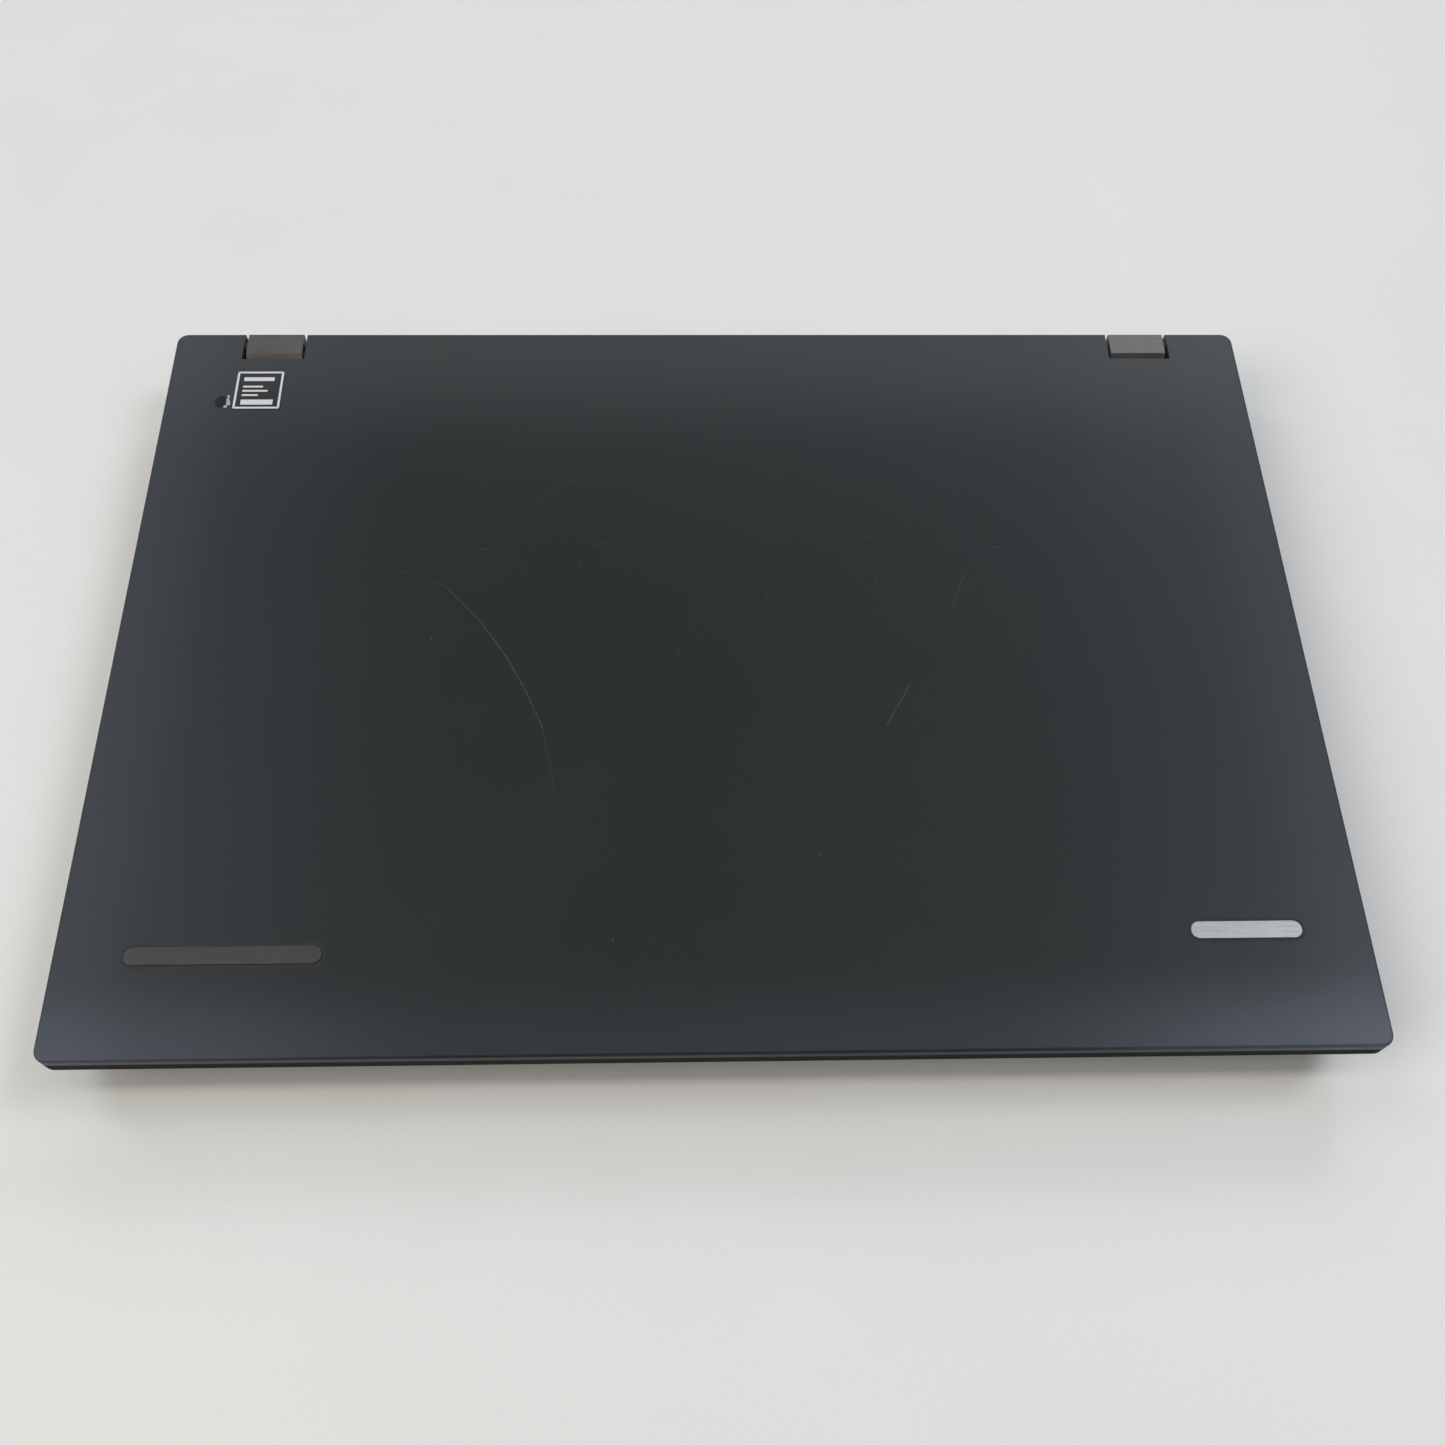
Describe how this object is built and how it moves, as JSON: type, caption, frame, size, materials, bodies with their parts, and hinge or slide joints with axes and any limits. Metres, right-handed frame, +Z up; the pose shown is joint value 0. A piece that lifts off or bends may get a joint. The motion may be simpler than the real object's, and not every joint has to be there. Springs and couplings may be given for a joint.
{
  "type": "laptop computer",
  "caption": "Closed clamshell laptop with a graphite lid on two metal hinges; keyboard, touchpad, screen, removable battery and pull-out disc tray inside a sloping base.",
  "frame": {"origin": "on the surface that the feet stand on, under the middle of the closed machine", "axes": "+X to the right as the user sees it, +Y to the rear (hinge side), +Z up"},
  "size_m": [0.339, 0.235, 0.027],
  "materials": {
    "lid_graphite": "fine grained matte paint",
    "deck_graphite": "matte",
    "shell_black": "matte textured",
    "bezel_black": "matte",
    "screen": "anti-glare",
    "camera": "gloss",
    "rubber": "matte",
    "hinge_metal": "satin",
    "steel": "satin",
    "cable": "satin",
    "key_black": "matte",
    "plate_metal": "satin",
    "pad_surface": "fine matte",
    "board": "satin",
    "chip": "satin",
    "copper": "satin",
    "fins": "satin",
    "fan_plastic": "matte",
    "drive_metal": "satin",
    "tray_plastic": "matte",
    "battery_black": "matte",
    "socket_black": "satin"
  },
  "bodies": {
    "base": {"audio_jack": "socket_black", "battery_connector": "socket_black", "bottom_case": "shell_black", "card_slot": "steel", "case_screws": "steel", "display_cable": "cable", "fan_housing": "fan_plastic", "heat_fins": "fins", "heat_pipe": "copper", "io_boards": "board", "keyboard_frame": "bezel_black", "keyboard_plate": "plate_metal", "left_hinge_block": "hinge_metal", "memory_modules": "board", "motherboard": "board", "network_jack": "socket_black", "optical_drive": "drive_metal", "pointing_stick": "rubber", "power_inlet": "socket_black", "processor": "chip", "right_hinge_block": "hinge_metal", "rubber_feet": "rubber", "service_door": "shell_black", "speakers": "fan_plastic", "storage_drive": "drive_metal", "top_case": "deck_graphite", "touchpad_bracket": "steel", "usb_ports": "steel", "video_port": "steel", "wireless_card": "board"},
    "lid": {"lid_cover": "lid_graphite", "lid_bezel": "bezel_black", "lcd_panel": "screen", "camera_module": "camera", "lid_bumpers": "rubber", "left_hinge_arm": "steel", "right_hinge_arm": "steel", "left_hinge_shaft": "steel", "right_hinge_shaft": "steel", "hinge_washers": "steel", "lid_cable": "cable"},
    "optical_tray": {"drive_tray": "tray_plastic", "tray_bezel": "shell_black"},
    "fan_rotor_body": {"fan_rotor": "fan_plastic"},
    "eject_button_body": {"eject_button": "shell_black"},
    "disc_hub_body": {"disc_hub": "tray_plastic"},
    "laser_sled_body": {"laser_sled": "tray_plastic"},
    "battery_pack_body": {"battery_pack": "battery_black"},
    "battery_lock_body": {"battery_lock": "shell_black"},
    "battery_release_body": {"battery_release": "shell_black"},
    "touchpad_body": {"touchpad": "pad_surface"},
    "power_button_body": {"power_button": "deck_graphite"},
    "arrow_keys_body": {"arrow_keys": "key_black"},
    "function_row_keys_body": {"function_row_keys": "key_black"},
    "home_letter_keys_body": {"home_letter_keys": "key_black"},
    "lower_letter_keys_body": {"lower_letter_keys": "key_black"},
    "modifier_keys_body": {"modifier_keys": "key_black"},
    "number_row_keys_body": {"number_row_keys": "key_black"},
    "space_bar_body": {"space_bar": "key_black"},
    "top_letter_keys_body": {"top_letter_keys": "key_black"}
  },
  "joints": [
    {"name": "lid_open", "type": "hinge", "parent": "base", "child": "lid", "pos_m": [0, 0.114, 0.0235], "axis": [-1, 0, 0], "range_deg": [0, 180]},
    {"name": "tray_slide", "type": "slide", "parent": "base", "child": "optical_tray", "axis": [1, 0, 0], "range_m": [0, 0.125]},
    {"name": "eject_press", "type": "slide", "parent": "optical_tray", "child": "eject_button_body", "axis": [-1, 0, 0], "range_m": [0, 0.0009], "stiffness_N_per_m": 300, "springref_m": -0.0005},
    {"name": "disc_spin", "type": "hinge", "parent": "optical_tray", "child": "disc_hub_body", "pos_m": [0.1, -0.0085, 0.0075], "axis": [0, 0, 1], "continuous": true},
    {"name": "sled_slide", "type": "slide", "parent": "optical_tray", "child": "laser_sled_body", "axis": [1, 0, 0], "range_m": [0, 0.023]},
    {"name": "battery_slide", "type": "slide", "parent": "base", "child": "battery_pack_body", "axis": [0, 1, 0], "range_m": [0, 0.06]},
    {"name": "lock_slide", "type": "slide", "parent": "base", "child": "battery_lock_body", "axis": [1, 0, 0], "range_m": [0, 0.005]},
    {"name": "release_slide", "type": "slide", "parent": "base", "child": "battery_release_body", "axis": [-1, 0, 0], "range_m": [0, 0.005]},
    {"name": "touchpad_press", "type": "slide", "parent": "base", "child": "touchpad_body", "axis": [0, 0, -1], "range_m": [0, 0.0008], "stiffness_N_per_m": 2000, "springref_m": -0.0005},
    {"name": "power_press", "type": "slide", "parent": "base", "child": "power_button_body", "axis": [0, 0, -1], "range_m": [0, 0.0005], "stiffness_N_per_m": 600, "springref_m": -0.0005},
    {"name": "fan_spin", "type": "hinge", "parent": "base", "child": "fan_rotor_body", "pos_m": [-0.1285, 0.067, 0.008], "axis": [0, 0, 1], "continuous": true},
    {"name": "arrow_press", "type": "slide", "parent": "base", "child": "arrow_keys_body", "axis": [0, 0, -1], "range_m": [0, 0.0016], "stiffness_N_per_m": 1000, "springref_m": -0.0005},
    {"name": "function_row_press", "type": "slide", "parent": "base", "child": "function_row_keys_body", "axis": [0, 0, -1], "range_m": [0, 0.0016], "stiffness_N_per_m": 1000, "springref_m": -0.0005},
    {"name": "home_letter_press", "type": "slide", "parent": "base", "child": "home_letter_keys_body", "axis": [0, 0, -1], "range_m": [0, 0.0016], "stiffness_N_per_m": 1000, "springref_m": -0.0005},
    {"name": "lower_letter_press", "type": "slide", "parent": "base", "child": "lower_letter_keys_body", "axis": [0, 0, -1], "range_m": [0, 0.0016], "stiffness_N_per_m": 1000, "springref_m": -0.0005},
    {"name": "modifier_press", "type": "slide", "parent": "base", "child": "modifier_keys_body", "axis": [0, 0, -1], "range_m": [0, 0.0016], "stiffness_N_per_m": 1000, "springref_m": -0.0005},
    {"name": "number_row_press", "type": "slide", "parent": "base", "child": "number_row_keys_body", "axis": [0, 0, -1], "range_m": [0, 0.0016], "stiffness_N_per_m": 1000, "springref_m": -0.0005},
    {"name": "space_press", "type": "slide", "parent": "base", "child": "space_bar_body", "axis": [0, 0, -1], "range_m": [0, 0.0016], "stiffness_N_per_m": 1000, "springref_m": -0.0005},
    {"name": "top_letter_press", "type": "slide", "parent": "base", "child": "top_letter_keys_body", "axis": [0, 0, -1], "range_m": [0, 0.0016], "stiffness_N_per_m": 1000, "springref_m": -0.0005}
  ]
}
